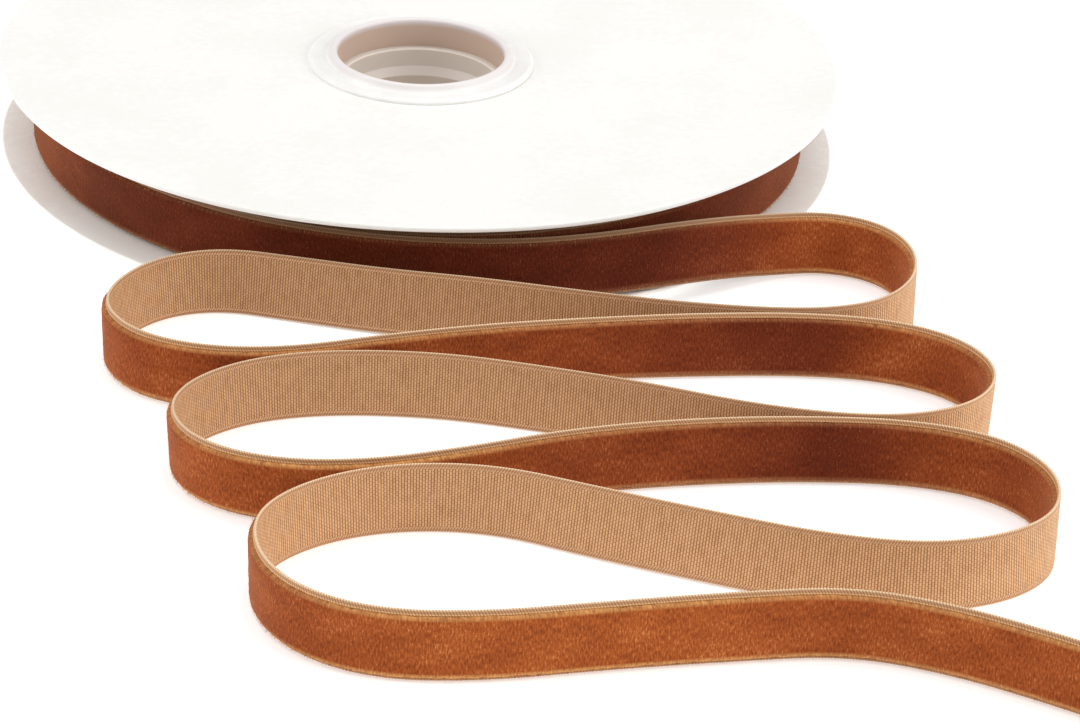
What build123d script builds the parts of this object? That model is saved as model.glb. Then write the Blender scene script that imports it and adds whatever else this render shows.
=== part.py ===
from build123d import *
from math import radians, tan
import os

# Ribbon spool: two card discs on a two-piece plugged core, wound with narrow velvet ribbon.
# The last turns of ribbon are drawn off and lie in standing loops on the table.
# Millimetres. The origin is on the spool's axis, on the surface that the spool lies on.

# Ribbon
RIBBON_W = 10.0            # width, selvedge to selvedge
RIBBON_T = 1.2             # ground weave and pile together
PACK_R = 62.8              # outside of the tightly wound ribbon

# Card discs
FLANGE_R = 70.0
CARD_T = 0.8
SIDE_ROOM = 1.6            # space left above the ribbon, between the two cards
CARD_HOLE_PLAY = 0.15      # radial gap between a card's hole and the core

# Core, upper half: a wide tube with a ring and a rounded lip
BORE_R = 14.0
WALL = 0.9
RING_R = 19.0
UPPER_RING_T = 1.0
LIP_W = 1.5
LIP_H = 0.7
LIP_ROUNDNESS = 0.9        # 1 would round the lip's top fully

# Core, lower half: a narrower tube that plugs into the upper one
LOWER_RING_T = 1.2
PLUG_PLAY = 0.1            # radial gap between the two tubes
PLUG_TOP_DROP = 3.2        # from the upper card's top down to the plug's rim
LEDGE_R = 12.3             # the narrow bore below the ledge, which a rod runs in
LEDGE_DROP = 6.3           # from the upper card's top down to the ledge
LEDGE_SLOPE_H = 1.5
RING_BEVEL = 0.5

# Small retaining features of the core
CARD_BEAD = 0.35           # how far a bead stands out of the core to hold a card
CARD_BEAD_H = 0.5
SNAP_PROUD = 0.2           # ridge on the plug, in a groove of the wide tube
SNAP_H = 1.0
SNAP_BELOW_RIM = 1.6
END_GAP = 0.1              # between the wide tube's end and the plug's shoulder

# Tape that holds the ribbon's inner end to the core
TAPE_T = 0.2
TAPE_W = 8.0
TAPE_ARC = 80.0            # degrees round the core
TAPE_START = 60.0

# Worked-out heights
LOWER_CARD_Z = LOWER_RING_T
PACK_Z = LOWER_CARD_Z + CARD_T
SHOULDER_TOP = PACK_Z + CARD_BEAD_H
UPPER_CARD_Z = PACK_Z + RIBBON_W + SIDE_ROOM
UPPER_RING_Z = UPPER_CARD_Z + CARD_T
UPPER_RING_TOP = UPPER_RING_Z + UPPER_RING_T
LIP_TOP = UPPER_RING_TOP + LIP_H
PLUG_TOP = UPPER_RING_Z - PLUG_TOP_DROP
LEDGE_Z = UPPER_RING_Z - LEDGE_DROP

# Worked-out radii
TUBE_R = BORE_R + WALL
PLUG_R = BORE_R - PLUG_PLAY
PLUG_BORE_R = PLUG_R - WALL
CARD_HOLE_R = TUBE_R + CARD_HOLE_PLAY
BEAD_R = TUBE_R + CARD_BEAD
CORE_SEAT_R = TUBE_R + TAPE_T

# The drawn-off ribbon's middle line: x, y and the height of its lower edge.
# It starts behind the spool's left side, goes round the front of the pack, leaves it towards
# the right, drops off the card's edge to the table and folds back and forth three times.
ROUTE = [
    (-54.1, 33.8, 2.3), (-61.4, 22.3, 2.3), (-65.2, -4.5, 2.3), (-58.2, -29.5, 2.3),
    (-43.5, -48.4, 2.3), (-25.0, -59.8, 2.3), (-7.5, -64.6, 2.3), (7.0, -65.4, 2.3),
    (20.0, -63.9, 2.3), (31.5, -60.8, 2.4), (42.5, -56.4, 2.6), (51.0, -50.6, 1.4),
    (58.5, -46.1, 0.2), (67.0, -43.9, 0.0), (75.2, -47.2, 0.0), (79.3, -55.4, 0.0),
    (78.9, -65.5, 0.0), (74.0, -73.6, 0.0), (66.0, -77.6, 0.0), (56.0, -78.6, 0.0),
    (43.0, -78.0, 0.0), (29.0, -76.0, 0.0), (13.0, -73.4, 0.0), (-2.0, -72.0, 0.0),
    (-15.0, -70.2, 0.0), (-26.5, -67.8, 0.0), (-36.0, -71.8, 0.0), (-41.5, -80.0, 0.0),
    (-41.9, -89.2, 0.0), (-36.2, -96.7, 0.0), (-25.5, -100.2, 0.0), (-13.0, -99.0, 0.0),
    (1.0, -93.2, 0.0), (15.0, -88.5, 0.0), (30.0, -84.9, 0.0), (46.0, -81.9, 0.0),
    (62.0, -80.0, 0.0), (75.0, -81.0, 0.0), (84.6, -86.2, 0.0), (88.6, -95.0, 0.0),
    (85.4, -104.0, 0.0), (77.0, -109.5, 0.0), (66.0, -110.8, 0.0), (52.0, -108.8, 0.0),
    (38.0, -104.2, 0.0), (23.0, -100.9, 0.0), (8.0, -98.2, 0.0), (-8.0, -98.9, 0.0),
    (-19.7, -103.0, 0.0), (-27.3, -110.5, 0.0), (-28.9, -119.3, 0.0), (-23.7, -127.8, 0.0),
    (-13.0, -132.0, 0.0), (0.0, -131.0, 0.0), (13.0, -126.2, 0.0), (27.0, -119.8, 0.0),
    (43.0, -115.3, 0.0), (60.0, -112.6, 0.0), (76.0, -112.2, 0.0), (87.6, -116.0, 0.0),
    (93.8, -124.5, 0.0), (93.3, -134.3, 0.0), (86.5, -142.4, 0.0), (75.0, -146.4, 0.0),
    (61.0, -145.2, 0.0), (46.0, -141.1, 0.0), (31.0, -136.8, 0.0), (17.0, -131.6, 0.0),
    (3.0, -131.4, 0.0), (-8.2, -137.2, 0.0), (-14.4, -146.0, 0.0), (-13.2, -156.2, 0.0),
    (-6.8, -164.7, 0.0), (4.0, -169.9, 0.0), (18.0, -168.9, 0.0), (33.0, -165.0, 0.0),
    (49.0, -161.4, 0.0), (64.0, -158.6, 0.0), (77.0, -161.8, 0.0), (90.0, -168.0, 0.0),
    (102.0, -175.0, 0.0), (112.0, -180.3, 0.0),
]
RAMP_START = 8             # the route's point up to which the ribbon stays level, above the card
RAMP_END = 13              # the first point on the table
FILLET_SHARE = 0.45        # of the shorter run, taken up by each corner's arc


def side_face(points):
    """Face in the XZ plane from a closed outline of (x or radius, height) points."""
    return make_face(Polyline(*[(x, 0, z) for x, z in points], close=True))


def turned(points, arc=360):
    """Solid of revolution about the spool's axis."""
    return revolve(side_face(points), axis=Axis.Z, revolution_arc=arc)


def card_disc(bottom):
    disc = Cylinder(FLANGE_R, CARD_T, align=(Align.CENTER, Align.CENTER, Align.MIN))
    hole = Cylinder(CARD_HOLE_R, CARD_T, align=(Align.CENTER, Align.CENTER, Align.MIN))
    return Pos(0, 0, bottom) * (disc - hole)


def snap_outline(wall_r):
    """Three points, upwards, of the small triangular snap that stands out from a wall's radius."""
    middle = PLUG_TOP - SNAP_BELOW_RIM
    return [
        (wall_r, middle - SNAP_H / 2),
        (wall_r + SNAP_PROUD, middle),
        (wall_r, middle + SNAP_H / 2),
    ]


def upper_core_half():
    lip_out = BORE_R + LIP_W
    outline = [
        (BORE_R, SHOULDER_TOP + END_GAP),
        (TUBE_R, SHOULDER_TOP + END_GAP),
        (TUBE_R, UPPER_CARD_Z - CARD_BEAD_H),
        (BEAD_R, UPPER_CARD_Z - CARD_BEAD_H / 2),
        (TUBE_R, UPPER_CARD_Z),
        (TUBE_R, UPPER_RING_Z),
        (RING_R, UPPER_RING_Z),
        (RING_R, UPPER_RING_TOP - RING_BEVEL),
        (RING_R - RING_BEVEL, UPPER_RING_TOP),
        (lip_out, UPPER_RING_TOP),
        (lip_out, LIP_TOP),
        (BORE_R, LIP_TOP),
    ]
    body = turned(outline + snap_outline(BORE_R)[::-1])
    lip_edges = body.edges().filter_by_position(Axis.Z, LIP_TOP, LIP_TOP)
    return fillet(lip_edges, LIP_ROUNDNESS * min(LIP_H, LIP_W / 2))


def lower_core_half():
    outline = [
        (LEDGE_R, 0),
        (RING_R - RING_BEVEL, 0),
        (RING_R, RING_BEVEL),
        (RING_R, LOWER_RING_T),
        (TUBE_R, LOWER_RING_T),
        (TUBE_R, PACK_Z),
        (BEAD_R, PACK_Z + CARD_BEAD_H / 2),
        (TUBE_R, SHOULDER_TOP),
        (PLUG_R, SHOULDER_TOP),
        *snap_outline(PLUG_R),
        (PLUG_R, PLUG_TOP),
        (PLUG_BORE_R, PLUG_TOP),
        (PLUG_BORE_R, LEDGE_Z),
        (LEDGE_R, LEDGE_Z - LEDGE_SLOPE_H),
    ]
    return turned(outline)


def wound_ribbon():
    """The tight turns of ribbon as one ring, relieved at its lower inner corner for the bead."""
    relief = CARD_BEAD + PLUG_PLAY
    outline = [
        (CORE_SEAT_R + relief, PACK_Z),
        (PACK_R, PACK_Z),
        (PACK_R, PACK_Z + RIBBON_W),
        (CORE_SEAT_R, PACK_Z + RIBBON_W),
        (CORE_SEAT_R, SHOULDER_TOP + relief),
    ]
    return turned(outline)


def start_tape():
    """Curved patch between the wide tube and the ribbon, midway up the tube's wall."""
    bottom = (SHOULDER_TOP + PACK_Z + RIBBON_W - TAPE_W) / 2
    outline = [
        (TUBE_R, bottom),
        (CORE_SEAT_R, bottom),
        (CORE_SEAT_R, bottom + TAPE_W),
        (TUBE_R, bottom + TAPE_W),
    ]
    return Rot(0, 0, TAPE_START) * turned(outline, TAPE_ARC)


def corner_radii(corners):
    """Radius of the arc at each inner corner, as large as its two runs allow."""
    radii = []
    for before, here, after in zip(corners, corners[1:], corners[2:]):
        run_in, run_out = here - before, after - here
        half_turn = radians(run_in.get_angle(run_out)) / 2
        radii.append(FILLET_SHARE * min(run_in.length, run_out.length) / tan(half_turn))
    return radii


def band(corners, radii):
    """Outline in plan of the ribbon on edge, along straight runs joined by tangent arcs."""
    path = FilletPolyline(*corners, radius=radii)
    return make_face(path.wire().offset_2d(RIBBON_T / 2, side=Side.BOTH)), path.length


def free_ribbon():
    corners = [Vector(x, y) for x, y, lift in ROUTE]
    radii = corner_radii(corners)
    meeting = (corners[RAMP_END] + corners[RAMP_END + 1]) / 2
    lead, lead_length = band(corners[:RAMP_END + 1] + [meeting], radii[:RAMP_END])
    tail, tail_length = band([meeting] + corners[RAMP_END + 1:], radii[RAMP_END:])

    # side view of the lead: level round the pack, then down off the card's edge to the table
    lower = [(-FLANGE_R, ROUTE[0][2])] + [(x, lift) for x, y, lift in ROUTE[RAMP_START:RAMP_END + 2]]
    upper = [(x, lift + RIBBON_W) for x, lift in reversed(lower)]
    heights = extrude(side_face(lower + upper), amount=FLANGE_R, dir=(0, 1, 0), both=True)
    strip = extrude(lead, amount=UPPER_CARD_Z) & heights
    strip += extrude(tail, amount=RIBBON_W)

    length = lead_length + tail_length
    print("free ribbon: length", round(length, 1), "mm, arc radii", [round(r, 1) for r in radii])
    print("free ribbon: volume", round(strip.volume, 1), "mm3, section times length",
          round(RIBBON_W * RIBBON_T * length, 1), "mm3")
    return strip


PARTS = {
    "lower_flange": card_disc(LOWER_CARD_Z),
    "upper_flange": card_disc(UPPER_CARD_Z),
    "lower_core_half": lower_core_half(),
    "upper_core_half": upper_core_half(),
    "wound_ribbon": wound_ribbon(),
    "start_tape": start_tape(),
    "free_ribbon": free_ribbon(),
}

os.makedirs("parts", exist_ok=True)
for name, shape in PARTS.items():
    export_step(shape, f"parts/{name}.step")
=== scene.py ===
from math import atan2, cos, degrees, pi, radians, sin

import bpy
import numpy as np
from mathutils import Matrix, Vector


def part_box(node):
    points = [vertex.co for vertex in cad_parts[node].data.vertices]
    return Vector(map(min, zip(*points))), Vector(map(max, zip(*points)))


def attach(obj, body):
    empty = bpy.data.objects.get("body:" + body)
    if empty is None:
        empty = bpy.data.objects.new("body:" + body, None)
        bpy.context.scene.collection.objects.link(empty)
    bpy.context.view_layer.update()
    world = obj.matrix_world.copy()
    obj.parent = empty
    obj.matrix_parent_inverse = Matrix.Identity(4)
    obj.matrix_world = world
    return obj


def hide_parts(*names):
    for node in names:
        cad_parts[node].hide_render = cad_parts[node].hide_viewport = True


# Spool of narrow velvet ribbon, its free end folded back and forth on a white table.
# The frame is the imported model's: the spool's axis is Z, and the table top is at Z = 0.

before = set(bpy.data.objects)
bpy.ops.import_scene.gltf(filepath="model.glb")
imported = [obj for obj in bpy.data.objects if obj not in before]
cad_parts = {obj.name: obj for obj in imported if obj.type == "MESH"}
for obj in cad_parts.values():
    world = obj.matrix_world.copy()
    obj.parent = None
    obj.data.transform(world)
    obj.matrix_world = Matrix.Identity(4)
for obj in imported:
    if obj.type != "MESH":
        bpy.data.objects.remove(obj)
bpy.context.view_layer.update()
MM = 0.001
rng = np.random.default_rng(7)

# ---------------------------------------------------------------- sizes, in millimetres
RIBBON_W = 10.0            # selvedge to selvedge
RIBBON_T = 1.2             # ground weave and pile
GROUND_T = 0.42            # the woven part alone
PILE_EDGE = 4.12           # from the ribbon's middle to where its pile ends, at the top
PILE_FOOT = 4.47           # and at the bottom, where the pile is pressed down over the selvedge
RIB_PITCH = 0.41           # ribs of the back, along the ribbon
PICK_PITCH = 0.55          # picks along one rib, across the ribbon
UV_UNIT = 10.0             # millimetres of ribbon to one unit of its UV map
FIBRE_R = 0.035            # a fibre of the pile, at its root

FIRST_TURN_R = 15.1        # where the wound ribbon starts on the core
TURN_PITCH = 0.62          # from one tight turn to the next
TURN_FILL = 0.96           # share of that pitch that the ribbon fills
CARD_GAP = 0.2             # keeps the tight turns off the lower card
SLACK = 2.0                # how far the outermost turn bulges
SLACK_BEARING = -10        # and where, in degrees about the axis
CLIMB = 40                 # last degrees of that turn, where it climbs to the drawn-off ribbon
WOBBLE = 0.06              # how unevenly a turn's edge stands
WOBBLE_REACH = 2.1         # radians from one uneven place to the next

BORE_R = 14.0              # upper core half: its bore and the outside of its tube
TUBE_R = 14.9
PLUG_R = 13.9              # lower core half: the plug in that bore, and its own bore
PLUG_BORE_R = 13.0
LEDGE_R = 12.3             # narrow stretch under the plug's bore, and its slope's two heights
LEDGE_FOOT = 6.6
LEDGE_TOP = 8.1
BEAD = 0.35                # bead that snaps over a card's inner edge

CARD_HOLE_R = 15.05
CARD_FLAT_R = 19           # a card stays flat as far out as the core's ring
CARD_RINGS = [17.5, 21, 27, 35, 44, 53, 60, 65, 68, 69.5, 70]
CARD_EDGE = 0.30           # how far the cut edge is rounded
UPPER_DISH = 1.65          # how far the ribbon lifts the upper card's rim
UPPER_LIFTS = [(-165, 0.45, 65), (-100, 0.4, 50), (5, -0.6, 60)]  # bearing, lift, reach
LIFT_SPAN = 6              # degrees of rim to each side that a lift takes hold of

ROUND_STEPS = 192          # facets of a card or a turned piece

# The drawn-off ribbon's middle line: x, y and the height of its lower edge.
# It starts behind the spool's left side, goes round the front of the pack, leaves it towards
# the right, drops off the card's edge to the table and folds back and forth three times.
ROUTE = [
    (-54.0, 33.6, 2.3), (-61.0, 22.1, 2.3), (-65.2, -4.5, 2.3), (-58.2, -29.5, 2.3),
    (-43.5, -48.4, 2.3), (-25.0, -59.8, 2.3), (-7.5, -64.6, 2.3), (7.0, -65.4, 2.3),
    (20.0, -63.9, 2.3), (31.5, -60.8, 2.4), (42.5, -56.4, 2.6), (51.0, -50.6, 1.4),
    (58.5, -46.1, 0.2), (67.0, -43.9, 0.0), (75.2, -47.2, 0.0), (79.3, -55.4, 0.0),
    (78.9, -65.5, 0.0), (74.0, -73.6, 0.0), (66.0, -77.6, 0.0), (56.0, -78.6, 0.0),
    (43.0, -78.0, 0.0), (29.0, -76.0, 0.0), (13.0, -73.4, 0.0), (-2.0, -72.0, 0.0),
    (-15.0, -69.4, 0.0), (-26.5, -67.1, 0.0), (-36.0, -71.1, 0.0), (-41.5, -80.0, 0.0),
    (-41.9, -88.6, 0.0), (-36.2, -96.7, 0.0), (-25.5, -100.2, 0.0), (-13.0, -99.0, 0.0),
    (1.0, -93.2, 0.0), (15.0, -88.5, 0.0), (30.0, -84.9, 0.0), (46.0, -81.9, 0.0),
    (62.0, -80.0, 0.0), (75.0, -81.0, 0.0), (84.6, -86.2, 0.0), (88.6, -95.0, 0.0),
    (85.4, -104.0, 0.0), (77.0, -109.5, 0.0), (66.0, -110.8, 0.0), (52.0, -108.8, 0.0),
    (38.0, -104.2, 0.0), (23.0, -100.9, 0.0), (8.0, -98.2, 0.0), (-8.0, -98.9, 0.0),
    (-19.7, -103.0, 0.0), (-27.3, -110.5, 0.0), (-28.9, -119.3, 0.0), (-23.7, -127.8, 0.0),
    (-13.0, -132.0, 0.0), (0.0, -131.0, 0.0), (13.0, -126.2, 0.0), (27.0, -119.8, 0.0),
    (43.0, -115.3, 0.0), (60.0, -112.6, 0.0), (76.0, -112.2, 0.0), (87.6, -116.0, 0.0),
    (93.8, -124.5, 0.0), (93.3, -135.0, 0.0), (86.5, -142.4, 0.0), (75.0, -146.4, 0.0),
    (61.0, -145.2, 0.0), (46.0, -140.7, 0.0), (31.0, -135.7, 0.0), (17.0, -130.5, 0.0),
    (3.0, -131.4, 0.0), (-8.2, -137.2, 0.0), (-14.4, -146.0, 0.0), (-13.2, -156.9, 0.0),
    (-6.8, -165.4, 0.0), (4.0, -169.9, 0.0), (18.0, -168.9, 0.0), (33.0, -165.0, 0.0),
    (49.0, -161.4, 0.0), (64.0, -158.6, 0.0), (77.0, -161.8, 0.0), (90.0, -168.0, 0.0),
    (102.0, -175.0, 0.0), (112.0, -180.3, 0.0),
]

# Lean of the standing ribbon at some of the route's points, in degrees.
# Positive tips its upper edge towards the velvet side.
LEAN = {
    0: 0, 4: -2, 6: -6, 8: -5, 10: -14, 12: -13, 13: -9, 14: -5, 15: -2, 16: 4, 17: 9, 18: 11,
    20: 10, 21: 10, 22: 14, 23: 17, 24: 15, 25: 10, 26: 6, 27: 4, 28: 1, 29: -6, 31: -5, 33: -4,
    34: -4, 35: -8, 37: -7, 38: -5, 39: -2, 40: 0, 41: 4, 43: 7, 44: 7, 45: 10, 46: 10, 47: 8,
    48: 6, 50: 3, 51: 1, 54: -2, 55: -5, 56: -9, 58: -6, 59: -4, 60: -2, 61: 3, 62: 8, 63: 11,
    64: 15, 65: 16, 66: 15, 67: 10, 69: 5, 71: 0, 73: -5, 75: -3, 76: -5, 81: -7,
}

# Painted light and shade on the pile, at some of the route's points: above 1 it is painted paler,
# below 1 darker, most under the upper card and in the hollows between the folds. Darker pile is
# redder, by channel. The wound turns take one dark value, for the shade under the upper card.
PILE_PAINTED_SHADE = {
    0: 0.62, 3: 0.60, 3.5: 0.34, 4: 0.34, 5: 0.42, 6: 0.40, 8: 0.34, 9: 0.33, 10: 0.38,
    11: 0.54, 12: 0.86, 13: 1.15, 15: 0.95, 27: 0.80, 29: 0.95, 30: 1.08, 32: 1.05, 33: 1.0,
    34: 0.88, 35: 0.58, 36: 0.44, 37: 1.05, 38: 0.95, 39: 0.80, 50: 0.9, 51: 1.1, 53: 1.3,
    54: 1.3, 55: 0.85, 56: 0.84, 56.6: 0.64, 57.4: 0.37, 58: 0.80, 58.5: 1.0, 59: 0.85,
    70: 0.80, 72: 1.0, 73: 1.2, 75: 1.3, 77: 1.1, 79: 1.1,
}
PILE_PAINTED_SHADE_BY_CHANNEL = (1.0, 1.4, 1.25, 0.0)
WOUND_PILE_PAINTED_SHADE = 0.42

# Painted light and shade on the ribbed back and the selvedges, at some of the route's points:
# painted dark between the cards, in the upper card's shade, a little browner where dark, and
# painted lighter above 1.
WEAVE_PAINTED_SHADE = {
    0: 0.5, 8: 0.48, 10: 0.6, 12: 0.85, 14: 1.1, 16: 1.12, 18: 0.95, 20: 0.84, 24: 0.84,
    26: 0.92, 29: 1, 37: 1.1, 41: 1.1, 43: 0.97, 48: 0.95, 52: 1, 60: 1.1, 64: 1.14, 67: 1.1,
    71: 1.08, 75: 1,
}
WEAVE_PAINTED_SHADE_BY_CHANNEL = (1.0, 1.1, 1.2, 0.0)


# ---------------------------------------------------------------- camera and lights
CAMERA_AT = (22.5, -546.1, 241.2)          # millimetres
CAMERA_PITCH = 27.40                       # degrees that it looks down
CAMERA_ROLL = 2.78
LENS = 116.8
TENT_LIGHT = 0.52
SOFTBOXES = {                              # place and size in metres, watts
    "top softbox": ((0.0, 0.10, 0.9), (1.0, 0.8), 4.0),
    "right softbox": ((0.9, -0.30, 0.40), (0.6, 0.6), 5.2),
    "left softbox": ((-0.9, -0.30, 0.40), (0.6, 0.6), 4.0),
}
LIT_PLACE = (0.03, -0.08, 0)


def make_camera():
    """A long lens in front of the spool, looking down on it and rolled a little."""
    pitch = radians(CAMERA_PITCH)
    roll = radians(CAMERA_ROLL)
    forward = Vector((0, cos(pitch), -sin(pitch)))
    level = Vector((1, 0, 0))
    upright = level.cross(forward)
    right = level * cos(roll) + upright * sin(roll)
    up = upright * cos(roll) - level * sin(roll)
    data = bpy.data.cameras.new("camera")
    data.sensor_width = 36
    data.lens = LENS
    data.clip_start = 0.01
    camera = bpy.data.objects.new("camera", data)
    place = Matrix((right, up, -forward)).transposed().to_4x4()
    place.translation = Vector(CAMERA_AT) * MM
    camera.matrix_world = place
    bpy.context.scene.collection.objects.link(camera)
    bpy.context.scene.camera = camera


def make_lights():
    """A bright white tent: soft light from all round, stronger from above and from the sides."""
    world = bpy.data.worlds.new("tent")
    bpy.context.scene.world = world
    world.use_nodes = True
    background = world.node_tree.nodes["Background"]
    background.inputs["Color"].default_value = (1, 1, 1, 1)
    background.inputs["Strength"].default_value = TENT_LIGHT
    for name, (place, size, watts) in SOFTBOXES.items():
        data = bpy.data.lights.new(name, "AREA")
        data.shape = "RECTANGLE"
        data.size, data.size_y = size
        data.energy = watts
        light = bpy.data.objects.new(name, data)
        light.location = place
        aim = Vector(LIT_PLACE) - Vector(place)
        light.rotation_euler = aim.to_track_quat("-Z", "Y").to_euler()
        bpy.context.scene.collection.objects.link(light)
    bpy.context.scene.view_settings.view_transform = "Standard"


# ---------------------------------------------------------------- materials
ONE_BAND = 0.31416         # scale at which a wave texture draws one band to a unit

# Painted light and shade up the bore, from one height in millimetres to the other: the foot,
# painted dark; the ledge; the plug's wall; a painted highlight on its upper edge; the tube's
# wall, brown where the ribbon shows through; and the lip, its slope in painted shade.
BORE_LOW = 6.0
BORE_HIGH = 16.4
BORE_PAINTED_LIGHT = [
    (0.046, "#BFB2A5"), (0.063, "#E0D6CE"), (0.196, "#E0D6CE"), (0.213, "#CCC1B6"),
    (0.479, "#CABFB4"), (0.490, "#EADED4"), (0.508, "#EADED4"), (0.519, "#BBA393"),
    (0.865, "#BCA595"), (0.930, "#CBC3C3"), (0.985, "#E2DCDB"),
]


def colour(code):
    """Linear colour from an sRGB hex code."""
    channels = [int(code[i:i + 2], 16) / 255 for i in (1, 3, 5)]
    return [c / 12.92 if c <= 0.04045 else ((c + 0.055) / 1.055) ** 2.4 for c in channels] + [1]


def add(tree, kind, links=None, values=None, stops=None, **settings):
    """Adds a node with its settings, its unlinked inputs' values, its links and, for a colour
    ramp, its stops: position and hex colour."""
    made = tree.nodes.new(kind)
    for key, value in settings.items():
        setattr(made, key, value)
    for key, value in (values or {}).items():
        made.inputs[key].default_value = value
    for key, socket in (links or {}).items():
        tree.links.new(socket, made.inputs[key])
    if stops:
        for position, _ in stops[2:]:
            made.color_ramp.elements.new(position)
        for element, (position, code) in zip(made.color_ramp.elements, stops):
            element.position = position
            element.color = colour(code)
    return made


def new_material(name, **values):
    """A material, its node tree and its Principled shader, with plain inputs set by name."""
    material = bpy.data.materials.new(name)
    material.use_nodes = True
    shader = material.node_tree.nodes["Principled BSDF"]
    for key, value in values.items():
        shader.inputs[key.replace("_", " ")].default_value = value
    return material, material.node_tree, shader


def card_material(name, low, middle, high):
    # White-lined greyboard, cut from sheet: a smooth coated face, faintly mottled by its fibres.
    material, tree, shader = new_material(name, Roughness=0.62, IOR=1.47)
    place = add(tree, "ShaderNodeTexCoord").outputs["Object"]
    fibre = add(tree, "ShaderNodeTexNoise", {"Vector": place},
                {"Scale": 1 / (1.4 * MM), "Detail": 4.0, "Roughness": 0.65})
    cloud = add(tree, "ShaderNodeTexNoise", {"Vector": place},
                {"Scale": 1 / (18 * MM), "Detail": 2.0})
    both = add(tree, "ShaderNodeMath", {0: fibre.outputs["Fac"], 1: cloud.outputs["Fac"]},
               operation="ADD")
    tint = add(tree, "ShaderNodeValToRGB", {"Fac": both.outputs[0]},
               stops=[(0.7, low), (1.0, middle), (1.3, high)])
    tree.links.new(tint.outputs["Color"], shader.inputs["Base Color"])
    bump = add(tree, "ShaderNodeBump", {"Height": fibre.outputs["Fac"]},
               {"Strength": 0.25, "Distance": 0.03 * MM})
    tree.links.new(bump.outputs["Normal"], shader.inputs["Normal"])
    return material


def core_material():
    # Frosted natural polypropylene, injection moulded: milky white where it stands free. Down the
    # bore the colour is painted light and shade by height: a warm brown where the wound ribbon
    # shows through the thin wall, painted in, a painted highlight on the plug's upper edge, and
    # painted shade at the foot and on the lip's slope.
    material, tree, shader = new_material(
        "frosted_polypropylene", Roughness=0.35, IOR=1.49, Subsurface_Weight=0.25,
        Subsurface_Radius=(1.0, 0.8, 0.7), Subsurface_Scale=2.0 * MM)
    place = add(tree, "ShaderNodeTexCoord").outputs["Object"]
    flow = add(tree, "ShaderNodeTexNoise", {"Vector": place},
               {"Scale": 1 / (6 * MM), "Detail": 3.0, "Distortion": 0.8})
    free = add(tree, "ShaderNodeValToRGB", {"Fac": flow.outputs["Fac"]},
               stops=[(0.3, "#ECE9E5"), (0.7, "#F3F1ED")])
    height = add(tree, "ShaderNodeSeparateXYZ", {"Vector": place}).outputs["Z"]
    depth = add(tree, "ShaderNodeMapRange", {"Value": height},
                {"From Min": BORE_LOW * MM, "From Max": BORE_HIGH * MM})
    # Painted light and shade up the bore, by height.
    seen = add(tree, "ShaderNodeValToRGB", {"Fac": depth.outputs["Result"]}, stops=BORE_PAINTED_LIGHT)
    flat = add(tree, "ShaderNodeMapping", {"Vector": place}, {"Scale": (1, 1, 0)})
    radius = add(tree, "ShaderNodeVectorMath", {0: flat.outputs["Vector"]}, operation="LENGTH")
    outside = add(tree, "ShaderNodeMapRange", {"Value": radius.outputs["Value"]},
                  {"From Min": 15.0 * MM, "From Max": 15.8 * MM})
    tint = add(tree, "ShaderNodeMix",
               {0: outside.outputs["Result"], 6: seen.outputs["Color"], 7: free.outputs["Color"]},
               data_type="RGBA")
    tree.links.new(tint.outputs[2], shader.inputs["Base Color"])
    frost = add(tree, "ShaderNodeTexNoise", {"Vector": place},
                {"Scale": 1 / (0.5 * MM), "Detail": 2.0})
    bump = add(tree, "ShaderNodeBump", {"Height": frost.outputs["Fac"]},
               {"Strength": 0.2, "Distance": 0.03 * MM})
    tree.links.new(bump.outputs["Normal"], shader.inputs["Normal"])
    return material


def ribbon_place(tree, along, across):
    """The ribbon's own UV map, counted in steps of along and across millimetres."""
    uv = add(tree, "ShaderNodeUVMap", uv_map="ribbon").outputs["UV"]
    scaled = add(tree, "ShaderNodeMapping", {"Vector": uv},
                 {"Scale": (UV_UNIT / along, UV_UNIT / across, 1)})
    return scaled.outputs["Vector"]


def from_middle(tree):
    """Distance from the ribbon's middle line, in units of its UV map."""
    uv = add(tree, "ShaderNodeUVMap", uv_map="ribbon").outputs["UV"]
    parts = add(tree, "ShaderNodeSeparateXYZ", {"Vector": uv})
    return add(tree, "ShaderNodeMath", {0: parts.outputs["Y"]}, operation="ABSOLUTE").outputs[0]


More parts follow.
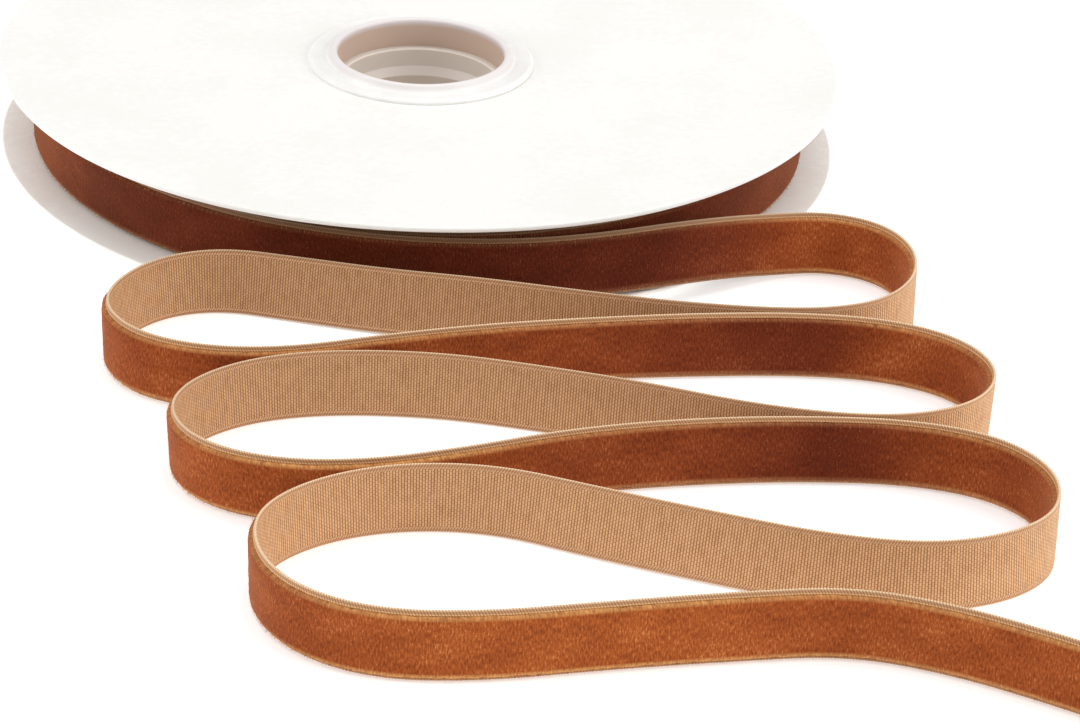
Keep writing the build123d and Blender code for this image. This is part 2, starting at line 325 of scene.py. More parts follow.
def velvet_material():
    # Rayon velvet, cut pile on a woven ground: deep rust that turns copper and pale where it
    # is seen edge-on, speckled by light fibre ends, with a golden fringe along both edges.
    material, tree, shader = new_material(
        "rayon_velvet_pile", Roughness=0.85, Sheen_Weight=0.40, Sheen_Roughness=0.42,
        Sheen_Tint=colour("#FFB684"), Specular_IOR_Level=0.12)
    brushed = add(tree, "ShaderNodeTexNoise", {"Vector": ribbon_place(tree, 9.0, 5.0)},
                  {"Scale": 1.0, "Detail": 2.0, "Roughness": 0.5})
    tufts = add(tree, "ShaderNodeTexNoise", {"Vector": ribbon_place(tree, 0.24, 0.75)},
                {"Scale": 1.0, "Detail": 2.0, "Roughness": 0.7})
    share = add(tree, "ShaderNodeMath", {0: brushed.outputs["Fac"]}, {1: 0.30},
                operation="MULTIPLY")
    both = add(tree, "ShaderNodeMath", {0: tufts.outputs["Fac"], 2: share.outputs[0]}, {1: 0.70},
               operation="MULTIPLY_ADD")
    tint = add(tree, "ShaderNodeValToRGB", {"Fac": both.outputs[0]},
               stops=[(0.36, "#743113"), (0.49, "#90441C"), (0.58, "#A25126"), (0.72, "#C08450")])
    fringe = add(tree, "ShaderNodeMapRange", {"Value": from_middle(tree)},
                 {"From Min": 3.65 / UV_UNIT, "From Max": 4.15 / UV_UNIT, "To Max": 1.0})
    worn = add(tree, "ShaderNodeMath", {0: fringe.outputs["Result"], 1: tufts.outputs["Fac"]},
               operation="MULTIPLY")
    edged = add(tree, "ShaderNodeMix", {0: worn.outputs[0], 6: tint.outputs["Color"]},
                {7: colour("#D9A468")},
                data_type="RGBA")
    # Painted light and shade along the ribbon, from the pile's attribute, multiplied into the
    # colour.
    pile_shade_attribute = add(tree, "ShaderNodeAttribute", attribute_name="pile_painted_shade")
    pile_shaded = add(tree, "ShaderNodeMix", {6: edged.outputs[2], 7: pile_shade_attribute.outputs["Color"]}, {0: 1.0},
               data_type="RGBA", blend_type="MULTIPLY")
    tree.links.new(pile_shaded.outputs[2], shader.inputs["Base Color"])
    bump = add(tree, "ShaderNodeBump", {"Height": both.outputs[0]},
               {"Strength": 0.8, "Distance": 0.22 * MM})
    tree.links.new(bump.outputs["Normal"], shader.inputs["Normal"])
    return material


def fibre_material():
    # Single rayon fibre ends that stand out of the pile and catch the light.
    material, tree, shader = new_material(
        "loose_pile_ends", Roughness=0.6, Sheen_Weight=0.4, Sheen_Tint=colour("#FFC89A"),
        Specular_IOR_Level=0.3)
    place = add(tree, "ShaderNodeTexCoord").outputs["Object"]
    mixed = add(tree, "ShaderNodeTexNoise", {"Vector": place},
                {"Scale": 1 / (0.35 * MM), "Detail": 1.0})
    tint = add(tree, "ShaderNodeValToRGB", {"Fac": mixed.outputs["Fac"]},
               stops=[(0.35, "#9A471D"), (0.5, "#B96C36"), (0.68, "#E3B484")])
    tree.links.new(tint.outputs["Color"], shader.inputs["Base Color"])
    return material


def back_material():
    # Ribbed ground weave in camel: fine ribs across the ribbon, each a row of staggered picks,
    # with a looped braid along both edges.
    material, tree, shader = new_material(
        "ribbed_ground_weave", Roughness=0.6, Sheen_Weight=0.12, Sheen_Roughness=0.4,
        Sheen_Tint=colour("#FFE0C0"), Specular_IOR_Level=0.3)
    ribs = add(tree, "ShaderNodeTexWave", {"Vector": ribbon_place(tree, RIB_PITCH, 3.0)},
               {"Scale": ONE_BAND, "Distortion": 0.5, "Detail": 1.0, "Detail Scale": 2.0},
               wave_type="BANDS", bands_direction="X", wave_profile="SIN")
    uv = add(tree, "ShaderNodeUVMap", uv_map="ribbon").outputs["UV"]
    turned = add(tree, "ShaderNodeMapping", {"Vector": uv},
                 {"Scale": (UV_UNIT, UV_UNIT, 1), "Rotation": (0, 0, pi / 2)})
    picks = add(tree, "ShaderNodeTexBrick", {"Vector": turned.outputs["Vector"]},
                {"Scale": 1.0, "Mortar Size": 0.07, "Mortar Smooth": 1.0, "Bias": 0.0,
                 "Brick Width": PICK_PITCH, "Row Height": RIB_PITCH,
                 "Color1": (1, 1, 1, 1), "Color2": (0.75, 0.75, 0.75, 1),
                 "Mortar": (0, 0, 0, 1)}, offset=0.5)
    slub = add(tree, "ShaderNodeTexNoise", {"Vector": ribbon_place(tree, 0.8, 3.0)},
               {"Scale": 1.0, "Detail": 2.0})
    dots = add(tree, "ShaderNodeMath", {0: picks.outputs["Color"]}, {1: 0.46},
               operation="MULTIPLY")
    weave = add(tree, "ShaderNodeMath", {0: ribs.outputs["Fac"], 2: dots.outputs[0]}, {1: 0.28},
                operation="MULTIPLY_ADD")
    both = add(tree, "ShaderNodeMath", {0: slub.outputs["Fac"], 2: weave.outputs[0]}, {1: 0.3},
               operation="MULTIPLY_ADD")
    tint = add(tree, "ShaderNodeValToRGB", {"Fac": both.outputs[0]},
               stops=[(0.19, "#805430"), (0.50, "#AB7A4D"), (0.81, "#D5A87D")])
    # Painted light and shade along the ribbon, from the weave's attribute, multiplied into the
    # back's colour.
    weave_shade_attribute = add(tree, "ShaderNodeAttribute", attribute_name="weave")
    weave_shaded = add(tree, "ShaderNodeMix", {6: tint.outputs["Color"], 7: weave_shade_attribute.outputs["Color"]},
               {0: 1.0}, data_type="RGBA", blend_type="MULTIPLY")
    loops = add(tree, "ShaderNodeTexWave", {"Vector": ribbon_place(tree, RIB_PITCH, 0.8)},
                {"Scale": 2 * ONE_BAND, "Distortion": 1.2, "Detail": 1.0, "Detail Scale": 1.5},
                wave_type="BANDS", bands_direction="DIAGONAL", wave_profile="SIN")
    braid = add(tree, "ShaderNodeValToRGB", {"Fac": loops.outputs["Fac"]},
                stops=[(0.15, "#9B6845"), (0.7, "#E2B78F")])
    at_edge = add(tree, "ShaderNodeMapRange", {"Value": from_middle(tree)},
                  {"From Min": 4.20 / UV_UNIT, "From Max": 4.32 / UV_UNIT, "To Max": 0.85})
    edged = add(tree, "ShaderNodeMix", {0: at_edge.outputs["Result"], 6: weave_shaded.outputs[2],
                                        7: braid.outputs["Color"]}, data_type="RGBA")
    tree.links.new(edged.outputs[2], shader.inputs["Base Color"])
    bump = add(tree, "ShaderNodeBump", {"Height": weave.outputs[0]},
               {"Strength": 0.5, "Distance": 0.08 * MM})
    tree.links.new(bump.outputs["Normal"], shader.inputs["Normal"])
    return material


def selvedge_material():
    # Tight woven edge, where the weft turns back: a pale outer thread, a tan braid and a golden
    # thread beside the pile, the pale and the golden thread with painted highlights where the
    # edges catch the light, and a dark groove before the pile starts, painted shadow of the pile.
    material, tree, shader = new_material(
        "looped_selvedge", Roughness=0.55, Sheen_Weight=0.12, Sheen_Tint=colour("#FFE8D0"),
        Specular_IOR_Level=0.35)
    across = add(tree, "ShaderNodeMapRange", {"Value": from_middle(tree)},
                 {"From Min": 4.0 / UV_UNIT, "From Max": 5.0 / UV_UNIT})
    # Across the edge: the dark groove in the pile's painted shadow, the golden thread with a
    # painted highlight, the tan braid, and the pale outer thread with a painted highlight.
    threads_and_painted_light = add(tree, "ShaderNodeValToRGB", {"Fac": across.outputs["Result"]},
                  stops=[(0.10, "#80552F"), (0.26, "#ECC08C"), (0.40, "#E7B883"),
                         (0.50, "#B98960"), (0.80, "#BD9068"), (0.97, "#EBCDA9")])
    loops = add(tree, "ShaderNodeTexWave", {"Vector": ribbon_place(tree, RIB_PITCH, 0.8)},
                {"Scale": 2 * ONE_BAND, "Distortion": 1.2, "Detail": 1.0, "Detail Scale": 1.5},
                wave_type="BANDS", bands_direction="DIAGONAL", wave_profile="SIN")
    shade = add(tree, "ShaderNodeValToRGB", {"Fac": loops.outputs["Fac"]},
                stops=[(0.0, "#C6B5A3"), (0.6, "#FFFFFF")])
    tint = add(tree, "ShaderNodeMix", {6: threads_and_painted_light.outputs["Color"], 7: shade.outputs["Color"]},
               {0: 1.0}, data_type="RGBA", blend_type="MULTIPLY")
    # Painted light and shade along the ribbon, from the weave's attribute, multiplied into the
    # edge's colour.
    weave_shade_attribute = add(tree, "ShaderNodeAttribute", attribute_name="weave")
    weave_shaded = add(tree, "ShaderNodeMix", {6: tint.outputs[2], 7: weave_shade_attribute.outputs["Color"]}, {0: 1.0},
               data_type="RGBA", blend_type="MULTIPLY")
    tree.links.new(weave_shaded.outputs[2], shader.inputs["Base Color"])
    bump = add(tree, "ShaderNodeBump", {"Height": loops.outputs["Fac"]},
               {"Strength": 0.3, "Distance": 0.05 * MM})
    tree.links.new(bump.outputs["Normal"], shader.inputs["Normal"])
    return material


def tape_material():
    # Crepe paper masking tape, pale and finely wrinkled along its length.
    material, tree, shader = new_material("crepe_paper_tape", Roughness=0.7)
    place = add(tree, "ShaderNodeTexCoord").outputs["Object"]
    crepe = add(tree, "ShaderNodeTexNoise", {"Vector": place},
                {"Scale": 1 / (0.7 * MM), "Detail": 3.0})
    tint = add(tree, "ShaderNodeValToRGB", {"Fac": crepe.outputs["Fac"]},
               stops=[(0.3, "#CDBB8C"), (0.7, "#E6D8B0")])
    tree.links.new(tint.outputs["Color"], shader.inputs["Base Color"])
    bump = add(tree, "ShaderNodeBump", {"Height": crepe.outputs["Fac"]},
               {"Strength": 0.5, "Distance": 0.05 * MM})
    tree.links.new(bump.outputs["Normal"], shader.inputs["Normal"])
    return material


def table_material():
    # Matt white table top, with a little light of its own that keeps it evenly white.
    return new_material("matt_white_table", Roughness=0.9, Base_Color=(0.90, 0.90, 0.90, 1),
                        Emission_Color=(1, 1, 1, 1), Emission_Strength=0.34)[0]


# ---------------------------------------------------------------- shared modelling steps
def start_editing():
    """Edit mode, with the whole of the new mesh selected."""
    bpy.ops.object.mode_set(mode="EDIT")
    bpy.ops.mesh.select_all(action="SELECT")


def finish_editing(piece):
    """Object mode, with the piece's place in its mesh and its gentle edges smooth."""
    bpy.ops.object.mode_set(mode="OBJECT")
    bpy.ops.object.select_all(action="DESELECT")
    piece.select_set(True)
    bpy.context.view_layer.objects.active = piece
    bpy.ops.object.transform_apply(location=True, rotation=True, scale=True)
    bpy.ops.object.shade_smooth_by_angle(angle=radians(30))


def apply_modifier(piece, kind, **settings):
    modifier = piece.modifiers.new(kind.lower(), kind)
    for key, value in settings.items():
        setattr(modifier, key, value)
    bpy.context.view_layer.objects.active = piece
    bpy.ops.object.modifier_apply(modifier=modifier.name)


def belongs(piece, body, slot, material, *nodes):
    """Gives a finished piece its finish and its body, and hides the CAD nodes that it stands for.
    """
    piece.data.materials.clear()
    piece.data.materials.append(material)
    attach(piece, body)
    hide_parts(*nodes)


# ---------------------------------------------------------------- card discs
def card_disc(name, node, dish, lifts):
    """A die-cut card disc that the ribbon pushes up by dish millimetres at its rim.
    Each lift raises the rim further at one bearing, over its reach in millimetres."""
    low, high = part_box(node)
    middle = (low.z + high.z) / 2
    bpy.ops.object.select_all(action="DESELECT")
    bpy.ops.mesh.primitive_circle_add(
        vertices=ROUND_STEPS, radius=CARD_HOLE_R * MM, location=(0, 0, middle))
    piece = bpy.context.object
    piece.name = name
    start_editing()
    rim = CARD_RINGS[-1]
    last = CARD_HOLE_R
    height = 0
    for ring in CARD_RINGS:
        share = max(0, (ring - CARD_FLAT_R) / (rim - CARD_FLAT_R))
        rise = dish * share ** 2 - height
        growth = ring / last
        bpy.ops.mesh.extrude_edges_move(TRANSFORM_OT_translate={"value": (0, 0, rise * MM)})
        bpy.ops.transform.resize(value=(growth, growth, 1), center_override=(0, 0, middle))
        last = ring
        height += rise
    for bearing, lift, reach in lifts:
        bpy.ops.mesh.select_all(action="DESELECT")
        bpy.ops.object.mode_set(mode="OBJECT")
        for vertex in piece.data.vertices:
            turn = atan2(vertex.co.y, vertex.co.x) - radians(bearing)
            aside = abs((turn + pi) % (2 * pi) - pi)
            vertex.select = aside < radians(LIFT_SPAN) and vertex.co.length > 0.9 * rim * MM
        bpy.ops.object.mode_set(mode="EDIT")
        bpy.ops.transform.translate(
            value=(0, 0, lift * MM), use_proportional_edit=True,
            proportional_edit_falloff="SMOOTH", proportional_size=reach * MM)
    finish_editing(piece)
    apply_modifier(piece, "SOLIDIFY", thickness=high.z - low.z, offset=0)
    apply_modifier(piece, "BEVEL", width=CARD_EDGE * MM, segments=3, limit_method="ANGLE")
    bpy.ops.object.shade_smooth_by_angle(angle=radians(40))
    return piece


# ---------------------------------------------------------------- core halves
def turned_piece(name, outline, rounding):
    """Spins a closed outline of (radius, height) points, in millimetres, about the spool's axis,
    and rounds its corners."""
    bpy.ops.object.select_all(action="DESELECT")
    bpy.ops.mesh.primitive_plane_add(size=MM, location=(0, 0, 0))
    piece = bpy.context.object
    piece.name = name
    start_editing()
    bpy.ops.mesh.merge(type="CENTER")
    here = Vector((outline[0][0], 0, outline[0][1])) * MM
    bpy.ops.transform.translate(value=here)
    for radius, height in outline[1:] + outline[:1]:
        there = Vector((radius, 0, height)) * MM
        bpy.ops.mesh.extrude_region_move(TRANSFORM_OT_translate={"value": there - here})
        here = there
    bpy.ops.mesh.select_all(action="SELECT")
    bpy.ops.mesh.remove_doubles(threshold=0.001 * MM)
    bpy.ops.mesh.spin(steps=ROUND_STEPS, angle=2 * pi, center=(0, 0, 0), axis=(0, 0, 1))
    bpy.ops.mesh.select_all(action="SELECT")
    bpy.ops.mesh.remove_doubles(threshold=0.002 * MM)
    bpy.ops.mesh.normals_make_consistent(inside=False)
    finish_editing(piece)
    apply_modifier(piece, "BEVEL", width=rounding * MM, segments=3, limit_method="ANGLE",
                   angle_limit=radians(25))
    bpy.ops.object.shade_smooth_by_angle(angle=radians(35))
    return piece


def upper_core():
    """The wide tube, with a bead under the card, the ring on the card and the rounded lip."""
    low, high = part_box("upper_core_half")
    foot = low.z / MM
    top = high.z / MM
    ring = high.x / MM
    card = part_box("upper_flange")[1].z / MM
    tube = [(BORE_R, foot), (TUBE_R, foot)]
    bead = [(TUBE_R, card - 1.3), (TUBE_R + BEAD, card - 1.05), (TUBE_R, card - 0.8)]
    rim = [(TUBE_R, card), (ring, card), (ring, card + 0.45), (ring - 0.55, card + 0.95),
           (ring - 0.9, card + 0.85)]
    lip = [(BORE_R + 1.9, card + 0.85), (BORE_R + 1.45, top - 0.35), (BORE_R + 1.1, top + 0.12),
           (BORE_R + 0.7, top + 0.25), (BORE_R + 0.3, top + 0.15), (BORE_R + 0.06, top - 0.1),
           (BORE_R, top - 0.4)]
    return turned_piece("upper_core", tube + bead + rim + lip, rounding=0.12)


def lower_core():
    """The base ring under the card, a bead over it, and the plug with the ledge inside."""
    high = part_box("lower_core_half")[1]
    top = high.z / MM
    ring = high.x / MM
    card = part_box("lower_flange")
    under = card[0].z / MM
    over = card[1].z / MM
    base = [(LEDGE_R, 0), (ring - 0.5, 0), (ring, 0.5), (ring, under), (TUBE_R, under)]
    bead = [(TUBE_R, over), (TUBE_R + BEAD, over + 0.25), (TUBE_R, over + 0.5)]
    plug = [(PLUG_R, over + 0.5), (PLUG_R, top), (PLUG_BORE_R, top), (PLUG_BORE_R, LEDGE_TOP),
            (LEDGE_R, LEDGE_FOOT)]
    return turned_piece("lower_core", base + bead + plug, rounding=0.1)


# ---------------------------------------------------------------- ribbon
GROUND, PILE, EDGE, FIBRE = 0, 1, 2, 3     # places in the ribbon's list of materials


def ribbon_section():
    """Outline across the ribbon: (across, through, material of the face that follows).
    Through runs from the ribbed back, at minus half the thickness, to the pile's top."""
    w = RIBBON_W / 2
    t = RIBBON_T / 2
    g = GROUND_T - t
    back = [(-w, g - 0.2, EDGE), (-w + 0.07, -t + 0.04, EDGE), (-w + 0.5, -t, GROUND),
            (-PILE_EDGE, -t + 0.02, GROUND), (-2.7, -t, GROUND), (-1.3, -t, GROUND),
            (0, -t, GROUND), (1.3, -t, GROUND), (2.7, -t, GROUND), (PILE_EDGE, -t + 0.02, GROUND),
            (w - 0.5, -t, EDGE), (w - 0.07, -t + 0.04, EDGE), (w, g - 0.2, EDGE),
            (w - 0.08, g, EDGE), (w - 0.40, g + 0.02, EDGE), (w - 0.50, g + 0.03, EDGE),
            (w - 0.60, g + 0.13, EDGE), (w - 0.72, g + 0.11, EDGE), (w - 0.82, g - 0.02, PILE)]
    side = [(0, g + 0.2), (0.12, t - 0.2), (0.35, t - 0.06), (0.8, t)]
    face = [(PILE_EDGE - a, b) for a, b in side]
    face += [(2.1, t), (1.05, t), (0, t), (-1.05, t), (-2.1, t)]
    face += [(a - PILE_FOOT, b) for a, b in reversed(side)]
    squeeze = (w - PILE_FOOT) / (w - PILE_EDGE)
    bead = [(0.82, g - 0.02), (0.72, g + 0.11), (0.60, g + 0.13), (0.50, g + 0.03),
            (0.40, g + 0.02), (0.08, g)]
    tail = [(squeeze * a - w, b, EDGE) for a, b in bead]
    return back + [(a, b, PILE) for a, b in face] + tail


def line_frame(points):
    """Length along the line, and the unit vector towards the velvet side, at each point."""
    ahead = np.gradient(points, axis=0)
    ahead /= np.linalg.norm(ahead, axis=1)[:, None]
    velvet = np.stack([ahead[:, 1], -ahead[:, 0], np.zeros(len(points))], 1)
    velvet /= np.linalg.norm(velvet, axis=1)[:, None]
    steps = np.linalg.norm(np.diff(points, axis=0), axis=1)
    return np.concatenate([[0], np.cumsum(steps)]), velvet


def ribbon_axes(velvet, lean):
    """Across (up the standing ribbon) and through (towards the velvet), turned by the lean."""
    up = np.array([0, 0, 1.0])
    c, s = np.cos(lean)[:, None], np.sin(lean)[:, None]
    return c * up + s * velvet, c * velvet - s * up


def ribbon_mesh(name, points, lean, pile_painted_shade, weave, section, materials, ruffle=0.0):
    """Sweeps the ribbon's section along points, in millimetres, maps it by its own length, and
    keeps the painted light and shade of its pile and of its back and selvedges in attributes.
    Ruffle makes the pile uneven."""
    length, velvet = line_frame(points)
    across, through = ribbon_axes(velvet, lean)
    count = len(points)
    around = len(section)
    a = np.tile([p[0] for p in section], (count, 1))
    b = np.tile([p[1] for p in section], (count, 1))
    if ruffle:
        on_pile = np.array([p[2] == PILE for p in section])
        near_edge = on_pile & (np.abs(a[0]) > PILE_EDGE - 0.9)
        b += rng.normal(0, ruffle * 0.35, a.shape) * on_pile
        a += rng.normal(0, ruffle, a.shape) * near_edge
    corners = (points[:, None, :] + a[..., None] * across[:, None, :]
               + b[..., None] * through[:, None, :]) * MM
    row = np.arange(count - 1)[:, None] * around
    here = np.arange(around)[None, :]
    beside = (here + 1) % around
    quads = np.stack([row + here, row + beside, row + around + beside, row + around + here], -1)
    ends = [list(range(around))[::-1], list(range((count - 1) * around, count * around))]
    mesh = bpy.data.meshes.new(name)
    mesh.from_pydata(corners.reshape(-1, 3).tolist(), [], quads.reshape(-1, 4).tolist() + ends)
    for material in materials[:FIBRE]:
        mesh.materials.append(material)
    kinds = np.tile([p[2] for p in section], count - 1).tolist() + [PILE, PILE]
    mesh.polygons.foreach_set("material_index", kinds)
    mesh.polygons.foreach_set("use_smooth", [True] * len(kinds))
    uv = mesh.uv_layers.new(name="ribbon")
    u = np.repeat(length, around) / UV_UNIT
    v = a.reshape(-1) / UV_UNIT
    loops = np.zeros(len(mesh.loops), np.int32)
    mesh.loops.foreach_get("vertex_index", loops)
    uv.data.foreach_set("uv", np.stack([u[loops], v[loops]], 1).reshape(-1).astype(np.float32))
    # Painted light and shade per point, for the pile and for the back and selvedges; darker is
    # redder or browner, by channel.
    for key, values, by_channel in (("pile_painted_shade", pile_painted_shade, PILE_PAINTED_SHADE_BY_CHANNEL),
                                    ("weave", weave, WEAVE_PAINTED_SHADE_BY_CHANNEL)):
        layer = mesh.attributes.new(key, "FLOAT_COLOR", "POINT")
        shade = np.repeat(values, around)[:, None] ** np.array(by_channel)
        layer.data.foreach_set("color", shade.reshape(-1).astype(np.float32))
    mesh.update()
    piece = bpy.data.objects.new(name, mesh)
    bpy.context.scene.collection.objects.link(piece)
    return piece


def spikes(name, roots, tips, material):
    """Fine closed fibres, each a slim three-sided spike from its root to its tip."""
    count = len(roots)
    along = tips - roots
    side = np.cross(along, rng.normal(size=(count, 3)))
    side *= FIBRE_R / np.linalg.norm(side, axis=1)[:, None]
    other = np.cross(along, side)
    other *= FIBRE_R / np.linalg.norm(other, axis=1)[:, None]
    corners = np.stack([roots + side, roots - 0.5 * side + 0.87 * other,
                        roots - 0.5 * side - 0.87 * other, tips], 1).reshape(-1, 3) * MM
    base = np.arange(count)[:, None, None] * 4
    faces = (base + np.array([[0, 2, 1], [0, 1, 3], [1, 2, 3], [2, 0, 3]])).reshape(-1, 3)
    mesh = bpy.data.meshes.new(name)
    mesh.from_pydata(corners.tolist(), [], faces.tolist())
    mesh.materials.append(material)
    piece = bpy.data.objects.new(name, mesh)
    bpy.context.scene.collection.objects.link(piece)
    return piece


def pile_fibres(name, points, lean, material, every, loose):
    """Fibre ends along both edges of the pile, one to every so many millimetres, and a number
    of loose ones that stand out of its face."""
    length, velvet = line_frame(points)
    across, through = ribbon_axes(velvet, lean)
    top = RIBBON_T / 2 - 0.1
    ground = GROUND_T - RIBBON_T / 2
    rows = int(length[-1] / every)
    place = np.concatenate([rng.uniform(0, length[-1], 2 * rows),
                            rng.uniform(0, length[-1], loose)])
    count = len(place)
    index = np.clip(np.searchsorted(length, place), 0, len(points) - 1)
    side = np.concatenate([np.repeat([1.0, -1.0], rows), np.zeros(loose)])
    on_edge = side != 0
    edge = np.where(side > 0, PILE_EDGE, PILE_FOOT) - 0.12
    a = np.where(on_edge, side * edge, rng.uniform(-3.9, 3.9, count))
    b = np.where(on_edge, rng.uniform(ground, top, count), top)
    from_edge = rng.uniform(0.15, 0.42, count)
    from_face = rng.uniform(0.14, 0.32, count)
    reach = np.where(on_edge, from_edge, from_face) * np.where(side < 0, 1.5, 1.0)
    ahead = np.cross(through, across)
    roots = points[index] + a[:, None] * across[index] + b[:, None] * through[index]
    out = np.where(on_edge[:, None], side[:, None] * across[index] + 0.5 * through[index],
                   through[index])
    out = out + rng.normal(0, 0.35, (count, 3)) + 0.3 * ahead[index]
    out /= np.linalg.norm(out, axis=1)[:, None]
    return spikes(name, roots, roots + reach[:, None] * out, material)


def route_points():
    """Points along the smooth line that the route's points control, in millimetres."""
    data = bpy.data.curves.new("ribbon route", "CURVE")
    data.dimensions = "3D"
    spline = data.splines.new("NURBS")
    spline.points.add(len(ROUTE) - 1)
    for point, (x, y, lift) in zip(spline.points, ROUTE):
        point.co = (x * MM, y * MM, (lift + RIBBON_W / 2) * MM, 1)
    spline.order_u = 3
    spline.use_endpoint_u = True
    data.resolution_u = 24
    curve = bpy.data.objects.new("ribbon route", data)
    bpy.context.scene.collection.objects.link(curve)
    bpy.context.view_layer.update()
    mesh = bpy.data.meshes.new_from_object(curve)
    line = np.array([v.co for v in mesh.vertices], float) / MM
    bpy.data.objects.remove(curve)
    bpy.data.meshes.remove(mesh)
    return line


def along_route(points, values, reach):
    """Values given at some of the route's points, by their number, spread along the line. A
    change is eased over reach of the line's points to each side."""
    length, _ = line_frame(points)
    route = np.array(ROUTE)
    places = []
    for number in values:
        first = int(number)
        part = number - first
        after = min(first + 1, len(route) - 1)
        x, y, _ = route[first] * (1 - part) + route[after] * part
        near = np.hypot(points[:, 0] - x, points[:, 1] - y)
        places.append(length[np.argmin(near)])
    spread = np.interp(length, places, list(values.values()))
    window = np.hanning(2 * reach + 1)
    eased = np.pad(spread, reach, mode="edge")
    return np.convolve(eased, window / window.sum(), mode="valid")


def free_ribbon(materials):
    """The drawn-off ribbon, from behind the spool to its plain cut end."""
    points = route_points()
    lean = np.radians(along_route(points, LEAN, 20))
    # Painted light and shade along the drawn-off ribbon: on its pile, and on its back and
    # selvedges.
    pile_painted_shade = along_route(points, PILE_PAINTED_SHADE, 12)
    weave = along_route(points, WEAVE_PAINTED_SHADE, 30)
    ribbon = ribbon_mesh("drawn_ribbon", points, lean, pile_painted_shade, weave, ribbon_section(), materials,
                         ruffle=0.05)
    fibres = pile_fibres("drawn_ribbon_nap", points, lean, materials[FIBRE], every=0.10,
                         loose=20000)
    for piece in (ribbon, fibres):
        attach(piece, "drawn_off_ribbon")
    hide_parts("free_ribbon")
    length, _ = line_frame(points)


def spiral(first_r, last_r, first_turn, last_turn, step, height):
    """Points of a flat spiral. Turns and step are in degrees about the spool's axis."""
    count = int(abs(last_turn - first_turn) / step) + 1
    turn = np.radians(np.linspace(first_turn, last_turn, count))
    radius = np.linspace(first_r, last_r, count)
    knots = np.arange(turn[0], turn[-1] + WOBBLE_REACH, WOBBLE_REACH)
    wobble = WOBBLE * np.interp(turn, knots, rng.normal(0, 1, len(knots)))
    return np.stack([radius * np.cos(turn), radius * np.sin(turn), height + wobble], 1)


def tight_turns(materials, height, last_r, end):
    """The wound turns on the core, with a simple section. They turn with the spool."""
    turns = int((last_r - FIRST_TURN_R) / TURN_PITCH)
    w = RIBBON_W / 2
    t = TURN_PITCH * TURN_FILL / 2
    section = [(-w, -t, EDGE), (-4.1, -t, GROUND), (4.1, -t, EDGE), (w, -t, EDGE),
               (w, -0.02, EDGE), (PILE_EDGE + 0.05, 0.0, PILE), (PILE_EDGE - 0.15, t, PILE),
               (-PILE_EDGE + 0.15, t, PILE), (-PILE_EDGE - 0.05, 0.0, EDGE), (-w, -0.02, EDGE)]
    line = spiral(FIRST_TURN_R + t, last_r - t, end - 360 * (turns + 1), end - 360, 5, height)
    ones = np.ones(len(line))
    # The tight turns' pile is painted dark, for the shade under the upper card.
    piece = ribbon_mesh(
        "tight_turns", line, 0 * ones, WOUND_PILE_PAINTED_SHADE * ones, ones, section, materials)
    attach(piece, "spool")
    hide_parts("wound_ribbon")


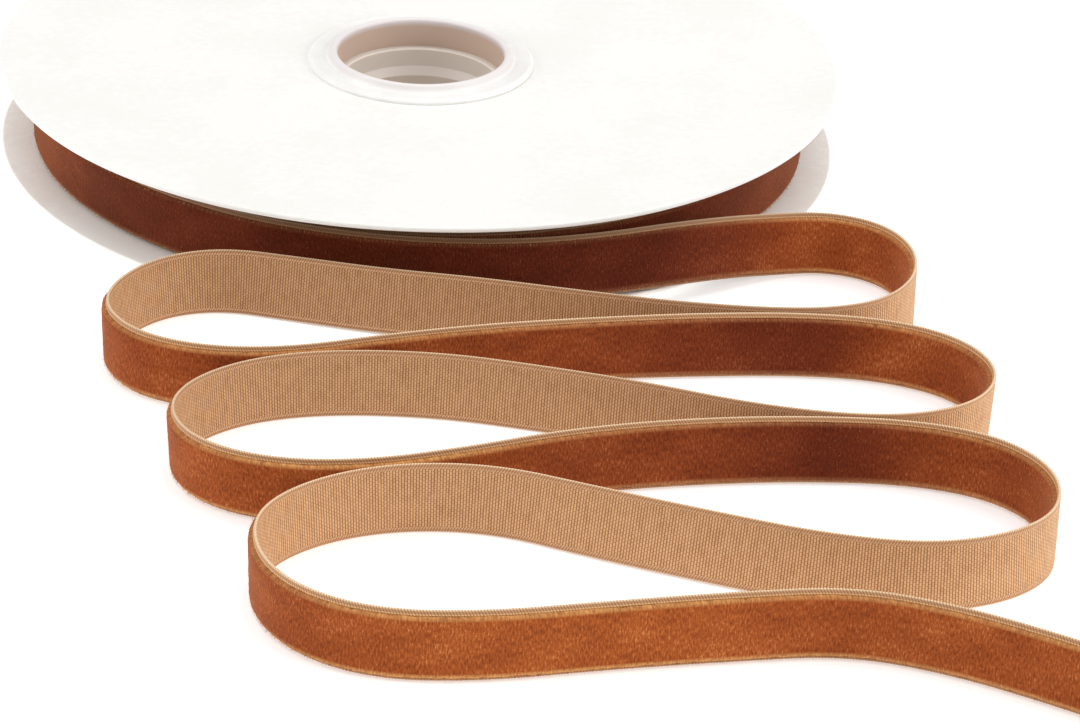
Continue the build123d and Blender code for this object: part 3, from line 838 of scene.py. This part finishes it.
def loose_turn(materials, radius, end, end_r):
    """The outermost turn, slack on its right side. It runs on into the drawn-off ribbon, so it
    stays with that ribbon when the spool turns inside it."""
    height = ROUTE[0][2] + RIBBON_W / 2
    step = 0.5
    line = spiral(radius - 0.12, radius, end - 360, end, step, height)
    bearing = np.arctan2(line[:, 1], line[:, 0])
    slack = SLACK * (0.5 + 0.5 * np.cos(bearing - radians(SLACK_BEARING))) ** 2
    to_end = step * (len(line) - 1 - np.arange(len(line)))
    rise = np.clip(1 - to_end / CLIMB, 0, 1)
    climb = (end_r - radius) * rise ** 2 * (3 - 2 * rise)
    line[:, :2] *= 1 + ((slack + climb) / radius)[:, None]
    line[:, 2] += (height - line[-1, 2]) * rise
    upright = np.zeros(len(line))
    # Painted shade under the upper card, on the pile and on the back, easing into the drawn-off
    # ribbon's where the turn climbs.
    pile_painted_shade = WOUND_PILE_PAINTED_SHADE + (PILE_PAINTED_SHADE[0] - WOUND_PILE_PAINTED_SHADE) * rise
    weave = np.full(len(line), WEAVE_PAINTED_SHADE[0])
    piece = ribbon_mesh("last_turn", line, upright, pile_painted_shade, weave, ribbon_section(), materials,
                        ruffle=0.04)
    fibres = pile_fibres("last_turn_nap", line, upright, materials[FIBRE], every=0.12,
                         loose=6000)
    for made in (piece, fibres):
        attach(made, "drawn_off_ribbon")


def wound_ribbon(materials):
    """Tight turns, and the loose one over them that ends where the drawn-off ribbon starts."""
    low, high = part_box("wound_ribbon")
    height = low.z / MM + RIBBON_W / 2 + CARD_GAP
    pack_r = high.x / MM
    start = Vector(ROUTE[0][:2])
    end = degrees(atan2(start.y, start.x))
    tight_turns(materials, height, pack_r - RIBBON_T - 0.05, end)
    loose_turn(materials, pack_r - RIBBON_T / 2, end, start.length)


# ---------------------------------------------------------------- the object
def make_ribbon():
    """The drawn-off ribbon first, then the wound one: both take from the same random numbers."""
    finishes = [back_material(), velvet_material(), selvedge_material(), fibre_material()]
    free_ribbon(finishes)
    wound_ribbon(finishes)


def make_spool():
    """Two cards and two core halves, with the CAD's own start tape in its finish."""
    face = card_material("white_lined_board", "#EAE9E4", "#ECEBE7", "#EEEDE9")
    # The lower card: the same board painted lighter and warmer, to make up for the upper card's
    # shade over it.
    lightened_board = card_material("white_lined_board_painted_lighter", "#F6F1EA", "#F9F5EF", "#FBF8F3")
    plastic = core_material()
    upper = card_disc("upper_card", "upper_flange", UPPER_DISH, UPPER_LIFTS)
    belongs(upper, "spool", "card", face, "upper_flange")
    lower = card_disc("lower_card", "lower_flange", dish=0, lifts=[])
    belongs(lower, "spool", "card", lightened_board, "lower_flange")
    belongs(upper_core(), "spool", "core_plastic", plastic, "upper_core_half")
    belongs(lower_core(), "spool", "core_plastic", plastic, "lower_core_half")
    crepe = tape_material()
    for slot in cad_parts["start_tape"].material_slots:
        slot.material = crepe


def make_table():
    bpy.ops.object.select_all(action="DESELECT")
    bpy.ops.mesh.primitive_plane_add(size=6, location=(0, 0, 0))
    table = bpy.context.object
    table.name = "table"
    table.data.materials.append(table_material())


make_camera()
make_ribbon()
make_spool()
make_table()
make_lights()
